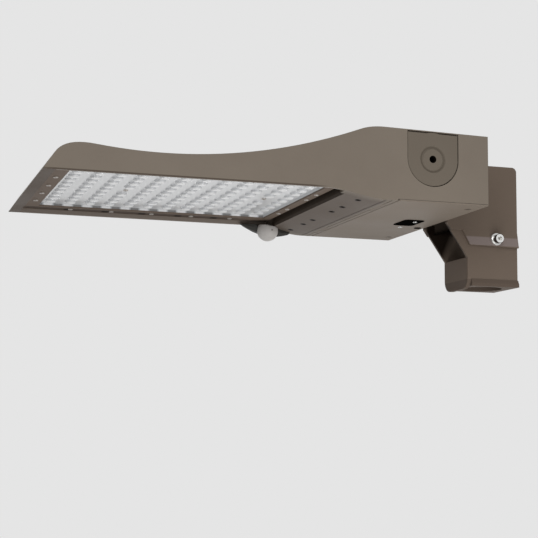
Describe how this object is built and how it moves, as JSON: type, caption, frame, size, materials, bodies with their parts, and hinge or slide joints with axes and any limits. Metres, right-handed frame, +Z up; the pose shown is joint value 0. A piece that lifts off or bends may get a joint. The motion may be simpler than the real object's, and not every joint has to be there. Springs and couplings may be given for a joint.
{
  "type": "shoebox area light",
  "caption": "Flat wave-topped LED area light with fins above, an optic tray below, a hinged driver door, an edge sensor and a tilting slip fitter for a round pole.",
  "frame": {"origin": "centre of the slip fitter's mouth, where the pole enters", "axes": "+Z up along the pole, the lamp's nose towards -X, its light shining towards -Z, and the sensor on the +Y edge"},
  "size_m": [0.7125, 0.3444, 0.1929],
  "materials": {
    "bronze_paint": "satin powder coat, bronze grey",
    "door_paint": "satin powder coat, bronze grey",
    "cover_paint": "satin powder coat, bronze grey",
    "frame_paint": "satin powder coat, bronze grey",
    "fitter_paint": "satin powder coat, darker bronze grey",
    "stainless": "bright stainless steel",
    "clear_lens": "clear moulded optic",
    "white_board": "white solder mask",
    "led_yellow": "phosphor",
    "silicone": "matt silicone",
    "driver_case": "plain aluminium case",
    "blue_plastic": "potted plastic case",
    "white_plastic": "plain",
    "module_plastic": "circuit board and case",
    "black_plastic": "fine matt",
    "sensor_plastic": "fine matt",
    "frosted_plastic": "frosted dome"
  },
  "bodies": {
    "slip_collar": {"collar": "fitter_paint", "set_screws": "stainless"},
    "lamp": {"housing": "bronze_paint", "lens_frame": "frame_paint", "lens_plate": "clear_lens", "lens_gasket": "silicone", "led_board": "white_board", "led_packages": "led_yellow", "frame_screws": "stainless", "hinge_pins": "stainless", "led_driver": "driver_case", "driver_screws": "stainless", "surge_protector": "blue_plastic", "terminal_block": "white_plastic", "wire_grommet": "silicone", "side_cover_near": "cover_paint", "side_cover_far": "cover_paint", "sensor_base": "sensor_plastic", "sensor_lens": "frosted_plastic", "sensor_board": "module_plastic", "bracket": "fitter_paint", "bracket_gasket": "silicone", "bracket_bolts": "stainless", "tilt_bolt": "stainless", "tilt_nut": "stainless", "tilt_washers": "stainless", "lock_washer": "stainless"},
    "door": {"driver_door": "door_paint", "door_gasket": "silicone", "door_screws": "stainless", "selector_module": "module_plastic", "selector_screws": "stainless", "port_cover": "black_plastic", "breather_vent": "black_plastic"}
  },
  "joints": [
    {"name": "tilt", "type": "hinge", "parent": "slip_collar", "child": "lamp", "pos_m": [0.0035, 0, 0.0683], "axis": [0, 1, 0], "range_deg": [0, 90]},
    {"name": "door_hinge", "type": "hinge", "parent": "lamp", "child": "door", "pos_m": [-0.2087, 0, 0.09608], "axis": [0, 1, 0], "range_deg": [0, 75]}
  ]
}
